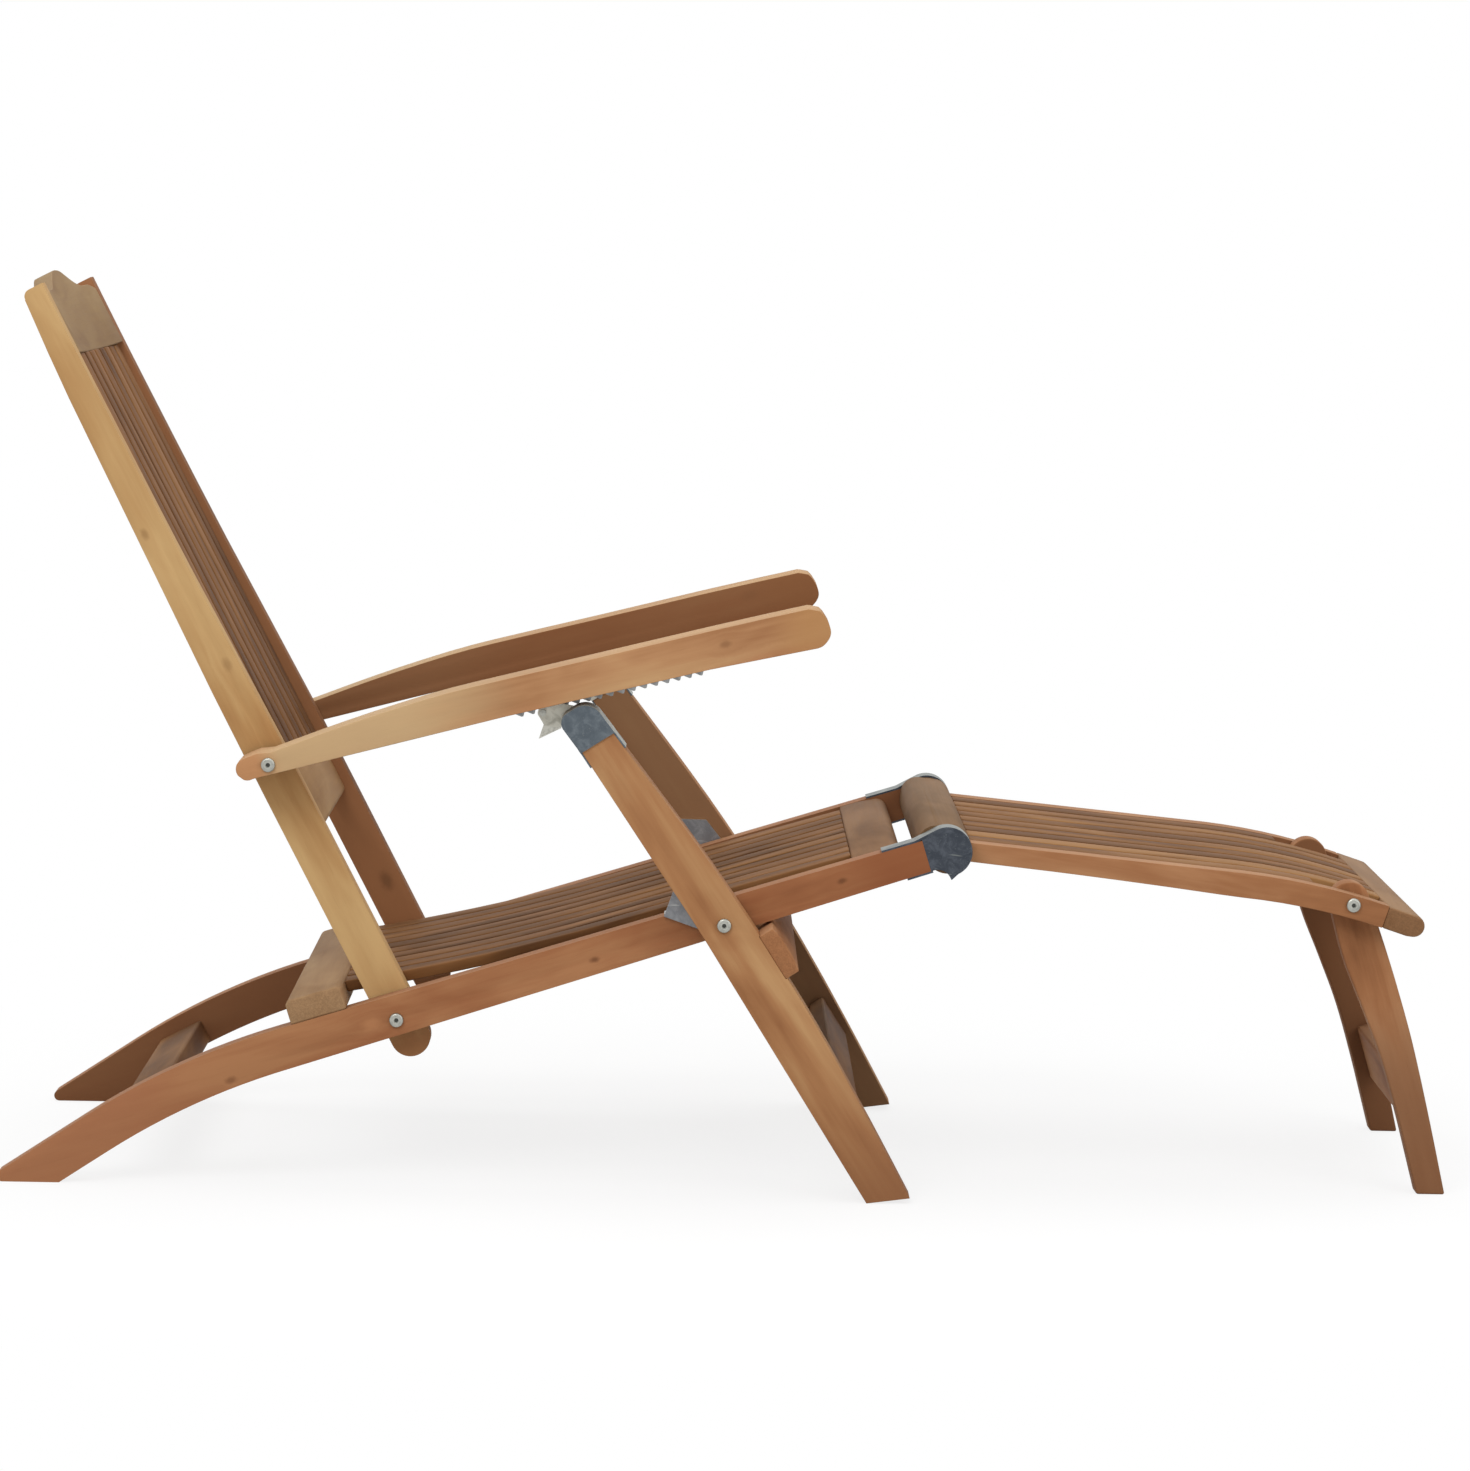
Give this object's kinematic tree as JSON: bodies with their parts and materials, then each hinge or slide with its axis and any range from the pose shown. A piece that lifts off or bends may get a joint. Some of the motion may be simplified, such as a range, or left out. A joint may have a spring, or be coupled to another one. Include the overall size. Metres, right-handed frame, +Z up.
{
  "type": "steamer chair",
  "caption": "Folding wooden steamer chair with a slatted seat, a back that reclines against notched arms, crossed front legs and a hinged slatted foot rest on its own legs",
  "frame": {"origin": "on the floor, under the middle of the chair's overall box", "axes": "+X towards the foot end, +Y to the sitter's left, +Z up"},
  "size_m": [1.5358, 0.596, 0.9529],
  "materials": {
    "teak": "oiled, lightly weathered",
    "teak_weathered": "dry, grey-brown, lightly weathered",
    "galvanised": "dull zinc",
    "steel": "brushed"
  },
  "bodies": {
    "seat_frame": {"seat_rail_left": "teak", "seat_rail_right": "teak", "rear_foot_stretcher": "teak_weathered", "seat_rear_rail": "teak_weathered", "seat_front_rail": "teak_weathered", "seat_slats": "teak_weathered", "hinge_cup_left": "galvanised", "hinge_cup_right": "galvanised", "back_washers": "steel", "leg_washers": "steel"},
    "back_pivots": {"back_bolts": "steel"},
    "back": {"upright_left": "teak", "upright_right": "teak", "crest_rail": "teak_weathered", "back_lower_rail": "teak_weathered", "back_slats": "teak_weathered"},
    "arm_pivot_left": {"arm_bolt_left": "steel"},
    "arm_pivot_right": {"arm_bolt_right": "steel"},
    "arm_side_left": {"arm_left": "teak", "rack_left": "steel"},
    "arm_side_right": {"arm_right": "teak", "rack_right": "steel"},
    "leg_frame": {"front_leg_left": "teak", "front_leg_right": "teak", "leg_cap_left": "galvanised", "leg_cap_right": "galvanised", "catch_pins": "steel", "stop_plate_left": "galvanised", "stop_plate_right": "galvanised", "leg_upper_stretcher": "teak_weathered", "leg_lower_stretcher": "teak_weathered", "leg_bolts": "steel"},
    "catch_side_left": {"catch_left": "steel"},
    "catch_side_right": {"catch_right": "steel"},
    "foot_rest": {"hinge_bar": "teak_weathered", "rest_rail_left": "teak", "rest_rail_right": "teak", "nose_rail": "teak", "rest_slats": "teak_weathered", "prop_washers": "steel", "prop_bolts": "steel"},
    "foot_rest_legs": {"prop_left": "teak", "prop_right": "teak", "prop_stretcher": "teak_weathered"}
  },
  "joints": [
    {"name": "seat_fold", "type": "hinge", "parent": "back_pivots", "child": "seat_frame", "pos_m": [-0.34697, 0, 0.17903], "axis": [0, -1, 0], "range_deg": [0, 86]},
    {"name": "back_recline", "type": "hinge", "parent": "back_pivots", "child": "back", "pos_m": [-0.34697, 0, 0.17903], "axis": [0, 1, 0], "range_deg": [-14, 0]},
    {"name": "arm_fold_left", "type": "hinge", "parent": "back", "child": "arm_pivot_left", "pos_m": [-0.481, 0.257, 0.45008], "axis": [0, 1, 0], "range_deg": [-109.3, 0]},
    {"name": "arm_fold_right", "type": "hinge", "parent": "back", "child": "arm_pivot_right", "pos_m": [-0.481, -0.257, 0.45008], "axis": [0, 1, 0], "range_deg": [-109.3, 0]},
    {"name": "arm_recline_left", "type": "hinge", "parent": "arm_pivot_left", "child": "arm_side_left", "pos_m": [-0.481, 0.257, 0.45008], "axis": [0, 1, 0], "range_deg": [0, 10]},
    {"name": "arm_recline_right", "type": "hinge", "parent": "arm_pivot_right", "child": "arm_side_right", "pos_m": [-0.481, -0.257, 0.45008], "axis": [0, 1, 0], "range_deg": [0, 10]},
    {"name": "leg_fold", "type": "hinge", "parent": "seat_frame", "child": "leg_frame", "pos_m": [-0.00501, 0, 0.29101], "axis": [0, 1, 0], "range_deg": [0, 97]},
    {"name": "catch_turn_left", "type": "hinge", "parent": "leg_frame", "child": "catch_side_left", "pos_m": [-0.19783, 0.245, 0.50622], "axis": [0, 1, 0], "range_deg": [-20, 0], "stiffness_Nm_per_rad": 0.02},
    {"name": "catch_turn_right", "type": "hinge", "parent": "leg_frame", "child": "catch_side_right", "pos_m": [-0.19783, -0.245, 0.50622], "axis": [0, 1, 0], "range_deg": [-20, 0], "stiffness_Nm_per_rad": 0.02},
    {"name": "foot_rest_fold", "type": "hinge", "parent": "seat_frame", "child": "foot_rest", "pos_m": [0.22803, 0, 0.36698], "axis": [0, 1, 0], "range_deg": [0, 95]},
    {"name": "foot_rest_leg_fold", "type": "hinge", "parent": "foot_rest", "child": "foot_rest_legs", "pos_m": [0.6589, 0, 0.31402], "axis": [0, 1, 0], "range_deg": [0, 88]}
  ],
  "couplings": [
    {"joint": "leg_fold", "follows": "seat_fold", "ratio": 1.1163},
    {"joint": "arm_fold_left", "follows": "seat_fold", "ratio": -1.27},
    {"joint": "arm_fold_right", "follows": "seat_fold", "ratio": -1.27},
    {"joint": "arm_recline_left", "follows": "back_recline", "ratio": -0.71},
    {"joint": "arm_recline_right", "follows": "back_recline", "ratio": -0.71}
  ]
}
